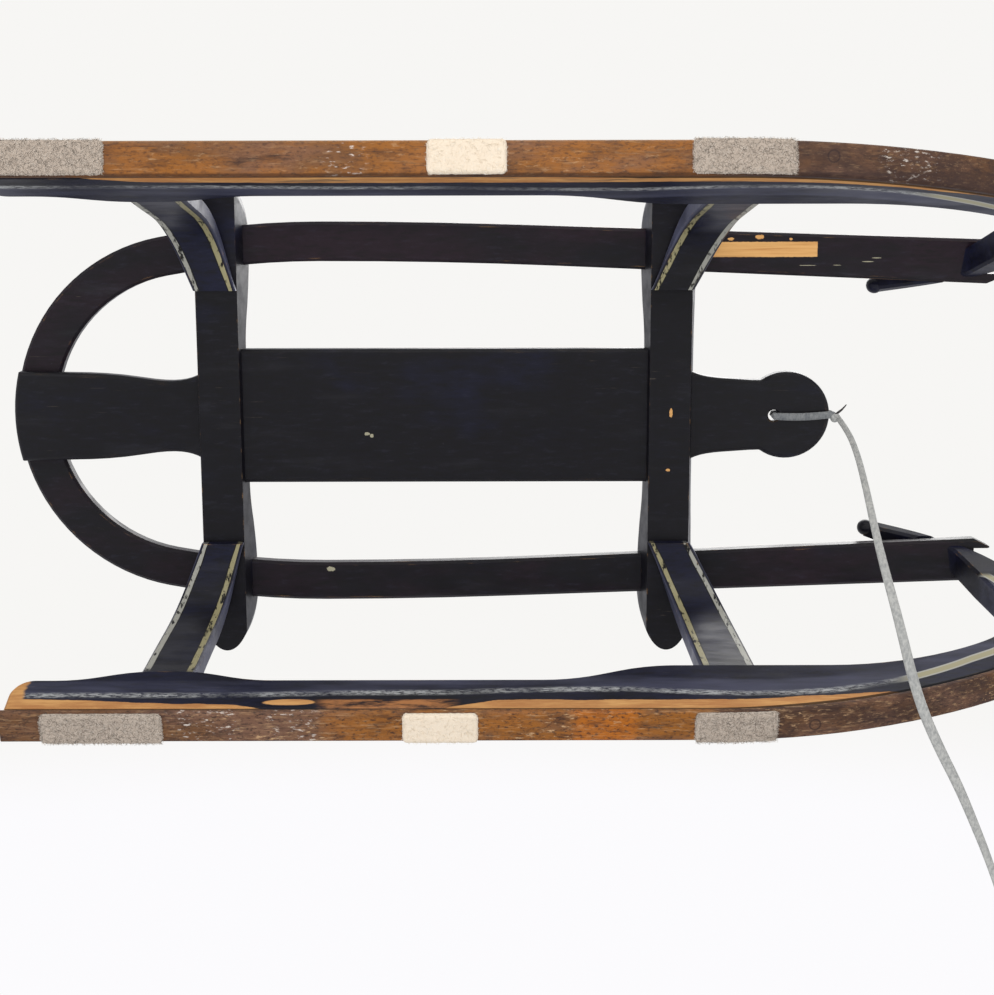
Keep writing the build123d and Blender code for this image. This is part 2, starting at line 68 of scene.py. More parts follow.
# Knees: the Y of their inner faces, and their stripes' distance from the middle at the top
# and how much further out they are at the foot, in millimetres
knee_inner_y = 91.0
knee_stripe = 12.2
knee_stripe_out = 3.0

# Camera
frame_height_px = 995
focal_px = 1700.0
sensor = 36.0
camera_place = Vector((-0.01837, -0.16753, -1.0505))
camera_right = Vector((0.999997, 0.002299, 0.000682))
camera_down = Vector((-0.002134, 0.982976, -0.183723))
camera_ahead = Vector((-0.001092, 0.183721, 0.982978))


def link(name, data):
    """A new object in the scene."""
    made = bpy.data.objects.new(name, data)
    bpy.context.scene.collection.objects.link(made)
    return made


def make_camera():
    """The photograph's view, from its fitted place and directions."""
    data = bpy.data.cameras.new("camera")
    camera = link("camera", data)
    data.sensor_width = sensor
    data.lens = focal_px / frame_height_px * sensor
    data.clip_start = 0.05
    data.clip_end = 30.0
    turn = Matrix((camera_right, -camera_down, -camera_ahead)).transposed().to_4x4()
    camera.matrix_world = Matrix.Translation(camera_place) @ turn
    bpy.context.scene.camera = camera


make_camera()

# Pull cord: a flat grey lace
lace_width = 4.4 * MM
lace_thick = 2.6 * MM
coil_steps = 16
coil_step_out = 4.4 * MM
coil_outer = 28.8 * MM
coil_lead = 20.0 * MM
coil_end_turn = 0.25
coil_slide_from = 0.75
section_points = 12
curve_steps = 6

# The route from the knot down to the ground and out to the coil, in millimetres: x, y, z
cord_route = [
    (225.5, 1, 163.9),
    (229.5, 8, 145.2),
    (231.2, 21, 117),
    (230.6, 40, 81.6),
    (230, 61, 48.2),
    (231, 80.5, 21.6),
    (234.5, 100, 6),
    (240.5, 123, 2.2),
    (247, 147, 2.2),
    (255.5, 171.5, 2.2),
    (267, 196, 2.2),
    (280, 220.5, 2.2),
    (291.5, 246, 2.2),
    (303, 273, 2.2),
    (314, 303.7, 2.2),
]

# How wide the lace lies at each of those points, beside its usual width
cord_swell = [0.95, 1.0, 1.05, 1.15, 1.25, 1.35, 1.4, 1.5, 1.55, 1.6, 1.6, 1.5, 1.35, 1.2, 1.0]

# The coil's turns: radius in steps from the outermost, and layer
coil_turns = [(0, 0), (1, 0), (2, 0), (2, 1), (1, 1), (0, 1)]

# The loop through the slat: how far its corners are drawn in, its sideways lie and its swell
loop_inset = 0.6 * lace_thick
loop_sag = 0.4 * MM
loop_sway = [0.0, 0.0, 0.0, 0.0, 0.0, 0.0, -0.9, 0.9, 0.5, 0.0]
loop_swell = [1.0, 1.0, 1.0, 1.0, 1.1, 1.2, 1.25, 1.3, 1.25, 1.1]

# Knots: the lace's width and thickness in them, their sizes and where the upper one sits
knot_lace = (3.2 * MM, 2.6 * MM)
knot_steps = 24
knot_rise = 1.4
knot_size = 2.3 * MM
end_knot_size = 2.9 * MM
knot_shift = Vector((-1.6, 0.3, 0.0)) * MM

# The thin lace that ties the coil, and the loose tail over the upper knot, in millimetres from it
tie_lace = (1.4 * MM, 1.1 * MM)
tie_steps = 28
tie_turns = 2
tie_spread = 5 * MM
tie_clear = 0.6 * MM
tie_lift = 0.4 * MM
tail_steps = [(-1.0, -1.0, -0.5), (2.5, -4.0, 0.0), (5.0, -5.6, 0.5), (8.0, -9.3, 0.5)]
tail_swell = [1.4, 1.3, 1.1, 0.5]


def coil_place():
    """The coil's centre on the ground, the heading of the cord into it, and the side away from it."""
    end = Vector(cord_route[-1]) * MM
    heading = (end - Vector(cord_route[-2]) * MM).normalized()
    side = Vector((heading.y, -heading.x, 0.0))
    centre = end + heading * coil_lead + side * coil_outer
    centre.z = 0.0
    return centre, heading, side


def coil_points():
    """Turns beside and on each other, each a little spiral near its end."""
    centre, heading, side = coil_place()
    points = []
    for number, (step, layer) in enumerate(coil_turns):
        following = coil_turns[min(number + 1, len(coil_turns) - 1)]
        last = number + 1 == len(coil_turns)
        count = round(coil_steps * coil_end_turn) + 1 if last else coil_steps
        for index in range(count):
            share = max(0.0, (index / coil_steps - coil_slide_from) / (1 - coil_slide_from))
            radius = coil_outer - coil_step_out * (step + (following[0] - step) * share)
            turn = 2 * math.pi * index / coil_steps
            place = centre - side * radius * math.cos(turn) + heading * radius * math.sin(turn)
            place.z = coil_step_out * (0.5 + layer + (following[1] - layer) * share)
            points.append(place)
    return points


def nurbs(name, dimensions, places, closed):
    """A curve of one smooth spline with these control points."""
    curve = bpy.data.curves.new(name, "CURVE")
    curve.dimensions = dimensions
    spline = curve.splines.new("NURBS")
    spline.points.add(len(places) - 1)
    for point, place in zip(spline.points, places):
        point.co = (*place, 1)
    spline.use_cyclic_u = closed
    spline.order_u = 3
    spline.use_endpoint_u = not closed
    return curve


def flat_section(name, width, thick):
    """An oval that a curve is given as its section, drawn for points whose radius is a thousandth."""
    turns = [2 * math.pi * index / section_points for index in range(section_points)]
    places = [(width / 2 * math.cos(turn) / MM, thick / 2 * math.sin(turn) / MM, 0) for turn in turns]
    section = link(name, nurbs(name, "2D", places, True))
    section.hide_render = True
    section.hide_viewport = True
    return section


def lace(name, places, section, closed=False, swells=()):
    """A lace along these control points, with a flat section, swollen at some of them."""
    curve = nurbs(name, "3D", places, closed)
    curve.bevel_mode = "OBJECT"
    curve.bevel_object = section
    curve.use_fill_caps = True
    curve.twist_mode = "Z_UP"
    curve.resolution_u = curve_steps
    for index, point in enumerate(curve.splines[0].points):
        point.radius = MM * (swells[index] if index < len(swells) else 1.0)
    return link(name, curve)


def knot_points(centre, size):
    """A trefoil, which is how a pulled overhand knot runs."""
    points = []
    for index in range(knot_steps):
        turn = 2 * math.pi * index / knot_steps
        reach = 2 + math.cos(3 * turn)
        rise = knot_rise * math.sin(3 * turn)
        place = Vector((reach * math.cos(2 * turn), reach * math.sin(2 * turn), rise))
        points.append(centre + place * (size / 3))
    return points


def loop_points():
    """The lace's round through the hole: up, over the slat, round its nose and back under it."""
    low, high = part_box("cord_loop")
    half = lace_width / 2
    inset = loop_inset
    top, bottom = high.z - half, low.z + half
    rear, nose = low.x + half, high.x - half
    corners = [
        (rear, bottom + 4 * inset),
        (rear, top - inset),
        (rear + inset, top),
        (nose - inset, top),
        (nose, top - inset),
        (nose, bottom + inset),
        (nose - inset, bottom),
        ((rear + nose) / 2, bottom - loop_sag),
        (rear + inset, bottom),
        (rear, bottom + inset),
    ]
    return [Vector((x, y * MM, z)) for (x, z), y in zip(corners, loop_sway)]


def tie_points():
    """Two turns around one side of the coil, nearly square in section."""
    low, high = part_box("cord_tie")
    centre, heading, side = coil_place()
    middle = (low + high) / 2
    reach = coil_step_out * 1.5 + tie_clear
    rise = (high.z - low.z) / 2 - tie_clear
    points = []
    for index in range(tie_steps):
        turn = 2 * math.pi * tie_turns * index / tie_steps
        along = (index / tie_steps - 0.5) * tie_spread
        out = math.copysign(abs(math.cos(turn)) ** 0.5, math.cos(turn)) * reach
        up = math.copysign(abs(math.sin(turn)) ** 0.5, math.sin(turn)) * rise
        points.append(middle + side * out + heading * along + Vector((0, 0, up + tie_lift)))
    return points


def box_centre(node):
    low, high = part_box(node)
    return (low + high) / 2


def make_cord():
    """The cord and its coil, the loop through the slat, both knots, the coil's tie and the tail."""
    section = flat_section("lace_section", lace_width, lace_thick)
    knot_section = flat_section("knot_section", *knot_lace)
    tie_section = flat_section("tie_section", *tie_lace)
    end_centre = box_centre("cord_end_knot")
    knot_centre = box_centre("cord_knot") + knot_shift

    points = [Vector(place) * MM for place in cord_route] + coil_points() + [end_centre]
    cord = lace("pull_cord_lace", points, section, False, cord_swell)
    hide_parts("pull_cord", "cord_coil")
    loop = lace("lace_loop", loop_points(), section, True, loop_swell)
    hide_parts("cord_loop")
    knot = lace("lace_knot", knot_points(knot_centre, knot_size), knot_section, True)
    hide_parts("cord_knot")
    end_knot = lace("lace_end_knot", knot_points(end_centre, end_knot_size), knot_section, True)
    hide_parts("cord_end_knot")
    tie = lace("lace_tie", tie_points(), tie_section)
    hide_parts("cord_tie")
    tail_points = [knot_centre + Vector(step) * MM for step in tail_steps]
    tail = lace("lace_tail", tail_points, tie_section, False, tail_swell)
    pieces = [loop, knot, end_knot, tie, tail]
    for piece in [cord] + pieces:
        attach(piece, "root")
    return cord, pieces


cord, cord_pieces = make_cord()

# Stage: a floor that shows only from above, the photograph's floor beside the sled, and soft light
stage_far = 9.0
stage_white = (0.70, 0.70, 0.69)
stage_lift = 0.45
backdrop_white = (0.930, 0.922, 0.905)
ground_white = (0.972, 0.965, 0.985)
backdrop_fold = (0.29, 0.355)
mirrored_tint = (0.95, 0.95, 1.0)
mirrored_rise = (-0.7, 0.8)
mirrored_strength = (0.04, 0.8)
soft_tint = (0.98, 0.985, 1.0)
soft_strength = 0.55

# Lamps: name, place, width, watts and colour, all turned to one target
lamps = [
    ("key", (0.1, -1.4, -0.9), 1.4, 17, (1.0, 0.98, 0.95)),
    ("fill", (-0.2, 0.6, -1.5), 1.4, 13, (0.96, 0.97, 1.0)),
    ("top", (0.5, -0.7, 1.7), 1.6, 20, (1.0, 0.99, 0.97)),
]
lamp_target = Vector((0, 0, 0.1))


def make_lamp(name, place, size, power, colour):
    """A round soft lamp."""
    data = bpy.data.lights.new(name, "AREA")
    data.shape = "DISK"
    data.size = size
    data.energy = power
    data.color = colour
    lamp = link(name, data)
    lamp.location = place
    lamp.rotation_mode = "QUATERNION"
    lamp.rotation_quaternion = (lamp_target - Vector(place)).to_track_quat("-Z", "Y")
    return lamp


def put(tree, socket, value):
    """Wire a socket, or set its number or colour."""
    if isinstance(value, bpy.types.NodeSocket):
        tree.links.new(value, socket)
    elif isinstance(value, tuple) and socket.type == "RGBA":
        socket.default_value = (*value, 1)
    else:
        socket.default_value = value


def add_node(tree, kind, inputs=None, **settings):
    """A new node with these settings, whose inputs are wired or set by name or number."""
    node = tree.nodes.new(kind)
    for name, value in settings.items():
        setattr(node, name, value)
    for key, value in (inputs or {}).items():
        put(tree, node.inputs[key], value)
    return node


class Nodes:
    """The nodes of the world or of a material, from an empty tree."""

    def __init__(self, owner):
        owner.use_nodes = True
        self.tree = owner.node_tree
        self.tree.nodes.clear()

    def node(self, kind, inputs=None, **settings):
        return add_node(self.tree, "ShaderNode" + kind, inputs, **settings)

    def math(self, operation, *values):
        return self.node("Math", dict(enumerate(values)), operation=operation).outputs[0]

    def ramp(self, value, low, high, to_low=0.0, to_high=1.0):
        """Smooth step from low to high, which may run downwards."""
        inputs = {"Value": value, "From Min": low, "From Max": high, "To Min": to_low, "To Max": to_high}
        return self.node("MapRange", inputs, interpolation_type="SMOOTHSTEP").outputs[0]

    def mix(self, factor, first, second):
        """The second colour over the first, as far as the factor says."""
        return self.node("Mix", {0: factor, 6: first, 7: second}, data_type="RGBA").outputs[2]

    def either(self, factor, first, second):
        """The second surface or light where the factor is 1, else the first."""
        return self.node("MixShader", {0: factor, 1: first, 2: second}).outputs[0]


def make_world():
    """Near white behind the sled, and soft light that is weaker behind the camera."""
    world = bpy.data.worlds.new("studio")
    bpy.context.scene.world = world
    sky = Nodes(world)

    def glow(colour, strength):
        return sky.node("Background", {"Color": colour, "Strength": strength}).outputs[0]

    path = sky.node("LightPath").outputs
    toward = sky.node("TexCoord").outputs["Generated"]
    apart = sky.node("SeparateXYZ", {0: toward}).outputs
    shown = glow(sky.mix(sky.ramp(apart[1], *backdrop_fold), backdrop_white, ground_white), 1.0)
    mirrored = glow(mirrored_tint, sky.ramp(apart[2], *mirrored_rise, *mirrored_strength))
    light = sky.either(path["Is Glossy Ray"], glow(soft_tint, soft_strength), mirrored)
    sky.node("OutputWorld", {"Surface": sky.either(path["Is Camera Ray"], light, shown)})


def one_sided(name, colour):
    """Pale and matt from its front for the camera and for gloss, and not there otherwise."""
    material = bpy.data.materials.new(name)
    pane = Nodes(material)
    behind = pane.node("NewGeometry").outputs["Backfacing"]
    path = pane.node("LightPath").outputs
    seen = pane.math("MAXIMUM", path["Is Camera Ray"], path["Is Glossy Ray"])
    both = pane.math("MULTIPLY", pane.math("SUBTRACT", 1.0, behind), seen)
    clear = pane.node("BsdfTransparent").outputs[0]
    matt = pane.node("BsdfDiffuse", {"Color": colour}).outputs[0]
    lift = pane.node("Emission", {"Color": colour, "Strength": stage_lift}).outputs[0]
    pale = pane.node("AddShader", {0: matt, 1: lift}).outputs[0]
    pane.node("OutputMaterial", {"Surface": pane.either(both, clear, pale)})
    return material


def make_floor():
    mesh = bpy.data.meshes.new("floor")
    far = stage_far
    mesh.from_pydata([(-far, -far, 0), (far, -far, 0), (far, far, 0), (-far, far, 0)], [], [(0, 1, 2, 3)])
    mesh.materials.append(one_sided("floor_pale", stage_white))
    link("floor", mesh)


def make_stage():
    make_world()
    make_floor()
    made = {lamp[0]: make_lamp(*lamp) for lamp in lamps}
    made["fill"].visible_glossy = False


make_stage()

# Noise fields: grain in millimetres, stretch along X or along X, Y and Z, detail, roughness, shift
fields = {
    "grain_lines": (1.4, 0.03, 4, 0.6, 0),
    "grain_clouds": (9, 0.12, 2, 0.5, 3),
    "navy_clouds": (60, 0.5, 3, 0.6, 0),
    "plum_clouds": (48, 0.4, 3, 0.6, 16),
    "mottle": (2.6, 0.22, 5, 0.7, 24),
    "dust": (16, 0.18, 5, 0.65, 1),
    "specks": (1.3, 0.5, 3, 0.6, 17),
    "speck_area": (38, 0.6, 2, 0.5, 18),
    "scratches": (0.9, 0.035, 3, 0.6, 2),
    "scratch_area": (45, 0.6, 2, 0.5, 4),
    "chips": (2.6, 0.7, 3, 0.6, 5),
    "chip_area": (70, 1, 2, 0.5, 6),
    "edge_wear": (7, 0.3, 3, 0.55, 0),
    "paint_gloss": (11, 0.3, 4, 0.6, 8),
    "brush_lines": (0.7, 0.05, 3, 0.6, 9),
    "paint_waves": (12, 0.3, 2, 0.5, 10),
    "stripe_wander": (60, (1, 0, 0), 2, 0.5, 11),
    "stripe_rubbed": (1.1, 0.22, 5, 0.75, 12),
    "stripe_tired": (24, 0.4, 3, 0.6, 22),
    "runner_highlight_patches": (18, 0.12, 4, 0.6, 14),
    "bare_edge": (7, 0.2, 5, 0.7, 15),
    "bare_broken": (14, 0.12, 4, 0.65, 26),
    "bare_patchy": (4.5, 0.2, 5, 0.7, 19),
    "bare_dirt": (6, 0.14, 5, 0.7, 23),
    "knee_wander": (25, 0, 2, 0.5, 14),
    "knee_worn": (3, (1, 0.4, 0.4), 4, 0.65, 20),
    "knee_flank_highlight": (12, (1, 0.3, 0.3), 4, 0.6, 25),
    "chip_ragged": (1.6, 1, 4, 0.7, 15),
    "rust_clouds": (26, 0.35, 4, 0.62, 0),
    "rust_fine": (1.6, 0.12, 4, 0.65, 1),
    "rust_dirt": (7, 0.25, 5, 0.68, 6),
    "rust_crumbs": (1.5, 0.45, 5, 0.72, 8),
    "flecks": (1.9, 0.3, 4, 0.68, 9),
    "fleck_area": (22, 0.4, 3, 0.6, 10),
    "pale_streaks": (0.8, 0.025, 3, 0.6, 3),
    "dark_streaks": (1.1, 0.02, 3, 0.6, 7),
    "nicks": (1.8, 0.35, 4, 0.65, 4),
    "pits": (1.2, 0.5, 4, 0.65, 5),
    "felt_tangle": (1.5, 1, 6, 0.75, 0),
    "felt_fibres": (0.6, 0.5, 5, 0.7, 1),
    "fibre_change": (5, 1, 2, 0.5, 0),
    "lace_strands": (0.8, (0.5, 0.28, 0.28), 4, 0.65, 0),
    "lace_clouds": (9, 1, 2, 0.5, 1),
    "lace_fluff": (0.5, 1, 3, 0.7, 2),
}
rust_patch_field = (15, 0.35, 5, 0.65)
rust_patch_shift = 21.0


class Shader(Nodes):
    """Short calls that add and wire the nodes of one material. Places are in millimetres."""

    def __init__(self, name):
        self.material = bpy.data.materials.new(name)
        super().__init__(self.material)
        self.surface = self.node("BsdfPrincipled")
        self.node("OutputMaterial", {"Surface": self.surface.outputs[0]})
        place = self.node("TexCoord").outputs["Object"]
        self.place = self.stretched(place, (1000, 1000, 1000))
        self.x, self.y, self.z = self.node("SeparateXYZ", {0: self.place}).outputs
        self.side = self.math("ABSOLUTE", self.y)

    def finish(self, colour, rough, relief, specular=0.5, sheen=0.0, metallic=0.0):
        """Wire the surface's colour, roughness and relief, and set its plain numbers."""
        inputs = self.surface.inputs
        put(self.tree, inputs["Base Color"], colour)
        put(self.tree, inputs["Roughness"], rough)
        if relief is not None:
            put(self.tree, inputs["Normal"], relief)
        inputs["Specular IOR Level"].default_value = specular
        inputs["Sheen Weight"].default_value = sheen
        inputs["Metallic"].default_value = metallic
        return self.material

    def add(self, first, second):
        return self.math("ADD", first, second)

    def less(self, first, second):
        return self.math("SUBTRACT", first, second)

    def times(self, first, *others):
        for other in others:
            first = self.math("MULTIPLY", first, other)
        return first

    def squares(self, first, second):
        return self.add(self.math("POWER", first, 2.0), self.math("POWER", second, 2.0))

    def distance(self, first, second):
        return self.math("SQRT", self.squares(first, second))

    def most(self, first, *others):
        for other in others:
            first = self.math("MAXIMUM", first, other)
        return first

    def stretched(self, vector, scale):
        node = self.node("VectorMath", {0: vector, 1: scale}, operation="MULTIPLY")
        return node.outputs[0]

    def noise(self, size, stretch, detail, rough, shift):
        """Noise from 0 to 1 whose grains are about that many millimetres wide."""
        scale = stretch if isinstance(stretch, tuple) else (stretch, 1, 1)
        vector = self.stretched(self.place, scale)
        inputs = {"W": shift, "Vector": vector, "Scale": 1 / size, "Detail": detail, "Roughness": rough}
        return self.node("TexNoise", inputs, noise_dimensions="4D").outputs["Fac"]

    def field(self, name):
        return self.noise(*fields[name])

    def cover(self, name, low, high, to_low=0.0, to_high=1.0):
        """How much of a noise field passes from low to high."""
        return self.ramp(self.field(name), low, high, to_low, to_high)

    def swing(self, name, reach):
        """A noise field around zero, with that reach from its lowest to its highest."""
        return self.times(self.less(self.field(name), 0.5), reach)

    def band(self, value, middle, half, soft):
        """1 within half of middle, and 0 from soft further out."""
        away = self.math("ABSOLUTE", self.less(value, middle))
        return self.ramp(away, self.add(half, soft), half)

    def between(self, value, low, high, soft):
        return self.times(self.ramp(value, low - soft, low), self.ramp(value, high + soft, high))

    def profile(self, value, table, top):
        """Straight runs between a table's (place, height) pairs, with heights up to top."""
        first, last = table[0][0], table[-1][0]
        share = self.times(self.less(value, first), 1 / (last - first))
        node = self.node("FloatCurve")
        curve = node.mapping.curves[0]
        places = [((place - first) / (last - first), height / top) for place, height in table]
        curve.points[0].location = places[0]
        curve.points[1].location = places[-1]
        for place in places[1:-1]:
            curve.points.new(*place)
        for point in curve.points:
            point.handle_type = "VECTOR"
        node.mapping.update()
        put(self.tree, node.inputs["Value"], share)
        return self.times(node.outputs[0], top)

    def layer(self, tone, mask, low, high, strength, colour):
        """Another colour over the tone where a value or a named noise field is high."""
        value = self.field(mask) if isinstance(mask, str) else mask
        return self.mix(self.ramp(value, low, high, 0.0, strength), tone, colour)

    def choose(self, test, first, second):
        """second where test is 1, else first."""
        return self.node("Mix", {0: test, 2: first, 3: second}).outputs[0]

    def bump(self, height, distance, strength, under=None):
        """Relief of this height, over another one where that is given."""
        inputs = {"Strength": strength, "Distance": distance, "Height": height}
        if under is not None:
            inputs["Normal"] = under
        return self.node("Bump", inputs).outputs[0]

    def facing(self):
        """The surface's own direction, as three numbers."""
        normal = self.node("NewGeometry").outputs["Normal"]
        return self.node("SeparateXYZ", {0: normal}).outputs

    def worn_edge(self, radius):
        """About 1 on outer edges and 0 on flats, from a rounded normal beside the true one."""
        rounded = self.node("Bevel", {"Radius": radius}, samples=3).outputs[0]
        normal = self.node("NewGeometry").outputs["Normal"]
        dot = self.node("VectorMath", {0: rounded, 1: normal}, operation="DOT_PRODUCT")
        return self.ramp(dot.outputs["Value"], 0.995, 0.93)


def tint(*channels):
    """A colour as it shows, from 0 to 255, in the linear space of the shaders."""
    shares = [channel / 255 for channel in channels]
    return tuple(share / 12.92 if share < 0.04045 else ((share + 0.055) / 1.055) ** 2.4 for share in shares)


paint_black = tint(12, 11, 18)
paint_navy = tint(17, 19, 40)
paint_plum = tint(30, 16, 26)
paint_grey = tint(84, 84, 94)
# Blue-grey for a faint random mottle in the paint and for painted highlights
painted_highlight_and_mottle = tint(88, 90, 112)
dark_line = tint(10, 9, 11)
wood_tan = tint(216, 166, 104)
wood_dark = tint(176, 118, 62)
wood_worn = tint(168, 112, 66)
stripe_cream = tint(188, 190, 190)
stripe_olive = tint(168, 160, 122)
iron_brown = tint(106, 73, 47)
iron_dark_and_shade = tint(52, 38, 36)
iron_mauve = tint(116, 85, 68)
rust_gold = tint(156, 96, 30)
rust_orange = tint(188, 104, 20)
scratch_pale = tint(196, 178, 156)
iron_fleck_and_highlight = tint(196, 160, 120)
nick_pale = tint(225, 215, 205)
felt_grey = tint(182, 168, 154)
felt_dark = tint(84, 78, 73)
felt_light = tint(216, 205, 192)
felt_thread = tint(116, 107, 98)
felt_cream = tint(232, 217, 196)
felt_warm = tint(214, 196, 168)
felt_white = tint(246, 240, 228)
lace_grey = tint(182, 182, 178)
lace_shade = tint(132, 134, 134)
lace_dull = tint(84, 88, 94)
lace_dark = tint(54, 49, 48)

rubbed_radius = 1.3 * MM


def grain(mat):
    """Tan wood with long grain along X."""
    tone = mat.layer(wood_tan, "grain_lines", 0.40, 0.75, 0.7, wood_dark)
    return mat.layer(tone, "grain_clouds", 0.5, 0.85, 0.4, wood_dark)


def painted_tone(mat, navy, scuff, plum):
    """Black to navy or plum, mottled, dusty, specked and scratched."""
    shift = 0.3 * navy
    tone = mat.layer(paint_black, "navy_clouds", 0.62 - shift, 0.85 - shift, 1.0, paint_navy)
    tone = mat.layer(tone, "plum_clouds", 0.36, 0.62, plum, paint_plum)
    mottle = mat.field("mottle")
    tone = mat.layer(tone, mottle, 0.46, 0.66, 0.7, dark_line)
    tone = mat.layer(tone, mottle, 0.46, 0.28, 0.07, painted_highlight_and_mottle)
    tone = mat.layer(tone, "dust", 0.54, 0.82, 0.30 * scuff, paint_grey)
    speck_area = mat.cover("speck_area", 0.46, 0.64, 0.0, 0.4 * scuff)
    tone = mat.mix(mat.times(mat.cover("specks", 0.66, 0.74), speck_area), tone, paint_grey)
    scratch_area = mat.cover("scratch_area", 0.52, 0.68, 0.0, 0.4 * scuff)
    scratches = mat.times(mat.cover("scratches", 0.66, 0.74), scratch_area)
    return mat.mix(scratches, tone, scratch_pale)


def paint(name, marks=None, navy=0.5, scuff=0.5, plum=0.0):
    """Old paint. marks(mat) gives the masks of the layers over it."""
    mat = Shader(name)
    tone = painted_tone(mat, navy, scuff, plum)
    chips = mat.times(mat.cover("chips", 0.78, 0.81), mat.cover("chip_area", 0.58, 0.68))
    rubbed = mat.times(mat.worn_edge(rubbed_radius), mat.cover("edge_wear", 0.54, 0.70))
    bare = mat.most(chips, mat.times(rubbed, 0.6 * scuff))
    wood = grain(mat)
    found = marks(mat) if marks else {}
    # The sheen layer is a painted highlight; the outline is the stripes' dark print
    for layer, colour in (("sheen", painted_highlight_and_mottle), ("outline", dark_line)):
        if layer in found:
            tone = mat.mix(found[layer], tone, colour)
    if "stripe" in found:
        stripe = mat.mix(found["olive"], stripe_cream, stripe_olive)
        tone = mat.mix(found["stripe"], tone, stripe)
    if "bare" in found:
        bare = mat.most(bare, found["bare"])
    tone = mat.mix(bare, tone, wood)
    # Dirt on the bare wood, then the painted shadow over the iron
    for layer, colour in (("worn", wood_worn), ("shadow_gap", dark_line)):
        if layer in found:
            tone = mat.mix(found[layer], tone, colour)
    gloss = mat.cover("paint_gloss", 0.3, 0.75, 0.30, 0.50)
    brush = mat.bump(mat.field("brush_lines"), 0.10 * MM, 0.3)
    waves = mat.bump(mat.field("paint_waves"), 0.3 * MM, 0.35, brush)
    edge = mat.bump(mat.times(bare, -1.0), 0.18 * MM, 0.6, waves)
    return mat.finish(tone, mat.choose(bare, gloss, 0.7), edge, specular=0.26)


def above_sole(mat):
    """Distance in millimetres from the curved sole, in the leaning plane of the runner."""
    across = mat.less(mat.side, gauge_half / MM)
    up = mat.less(mat.z, sole_height / MM)
    slope = mat.less(mat.times(up, math.cos(lean)), mat.times(across, math.sin(lean)))
    flat = mat.less(mat.x, rise_x / MM)
    radius = rise_radius / MM
    bow = mat.less(radius, mat.distance(flat, mat.less(slope, radius)))
    nose_dx = mat.less(mat.x, nose_x / MM)
    nose_dy = mat.less(slope, nose_height / MM)
    curl = mat.less(nose_radius / MM, mat.distance(nose_dx, nose_dy))
    forward = mat.times(nose_dx, math.cos(rise_angle))
    ahead = mat.add(forward, mat.times(nose_dy, math.sin(rise_angle)))
    front = mat.choose(mat.math("GREATER_THAN", ahead, 0.0), bow, curl)
    return mat.choose(mat.math("GREATER_THAN", flat, 0.0), slope, front)


# Height of the worn stripe's middle above the sole on the inner side, along X, in millimetres
stripe_line = [
    (-340, 18), (-200, 18), (-126, 20), (-50, 20.5), (-20, 22.5),
    (70, 23.5), (108, 20.5), (200, 15.5), (255, 15.5), (300, 19),
    (368, 19.5),
]

# Upper edge of the bare strip beside the iron, along X, in millimetres
bare_line_left = [
    (-340, 15), (-297, 13), (-250, 10), (-213, 8.8), (-190, 7.5),
    (-165, 3), (-60, 3), (-42, 8), (-20, 12.6), (180, 12.4),
    (222, 8), (250, 3), (368, 3),
]
bare_line_right = [
    (-340, 3), (-285, 3), (-240, 9.5), (-180, 11.5), (-60, 12),
    (60, 11.5), (160, 10.5), (250, 8), (310, 4.5), (368, 3),
]
sole_offset = 2.0
line_top = 50.0
stripe_front = (235.0, 262.0)

# Painted shadow in the crack between the iron and the wood: its height above the sole, where it opens, and
# its half widths
shadow_gap_height = 4.1
shadow_gap_opens_left = (110.0, 200.0)
shadow_gap_opens_right = (0.0, 90.0)
shadow_gap_halves = (0.5, 1.3)

# The left runner's bare tip, the bare finger in its paint, and its patchy stretch
tip_from = (-328.0, -331.0)
finger_x = -155.0
finger_height = 10.7
finger_slim = 0.17
finger_radius = (3.1, 2.6)
patchy_along = (-128.0, -56.0, 14.0)
patchy_height = (5.0, 12.5, 1.5)

# How high each layer reaches on the runners' noses
layer_limits = {"bare": 95.0, "worn": 95.0, "shadow_gap": 150.0, "stripe": 145.0, "sheen": 145.0}
layer_fade = 6.0


def stripe_masks(mat, height, inner):
    """The worn stripe, its olive core at the front, and the sheen above it, which is a painted highlight.
    """
    middle = mat.profile(mat.x, stripe_line, line_top)
    line = mat.less(height, mat.add(middle, mat.swing("stripe_wander", 2.0)))
    front = mat.ramp(mat.x, *stripe_front)
    tired = mat.cover("stripe_tired", 0.66, 0.42, 0.15, 0.75)
    speckled = mat.times(mat.cover("stripe_rubbed", 0.60, 0.42), tired)
    kept = mat.most(speckled, mat.times(front, 0.85))
    half = mat.choose(front, 0.8, 3.0)
    soft = mat.choose(front, 2.8, 0.5)
    core = mat.times(mat.band(line, 0.0, 1.8, 0.8), front)
    glow = mat.cover("runner_highlight_patches", 0.35, 0.65, 0.05, 0.45)
    return {
        "stripe": mat.times(mat.band(line, 0.0, half, soft), kept, inner),
        "olive": mat.most(mat.times(core, 0.9), mat.times(front, 0.35)),
        # The sheen is a painted highlight: a lighter band above the stripe, where the runner's inner edge
        # catches the light
        "sheen": mat.times(mat.band(line, 7.5, 4.5, 4.0), glow, inner),
    }


def left_bare(mat, height, bare, uneven):
    """The left runner's bare tip and finger beside its bare strip."""
    tip = mat.ramp(mat.add(mat.x, mat.times(uneven, 2.0)), *tip_from)
    along = mat.times(mat.less(mat.x, finger_x), finger_slim)
    finger = mat.distance(along, mat.less(height, finger_height))
    finger = mat.ramp(mat.add(finger, mat.times(uneven, 0.4)), *finger_radius)
    return mat.most(bare, tip, finger)


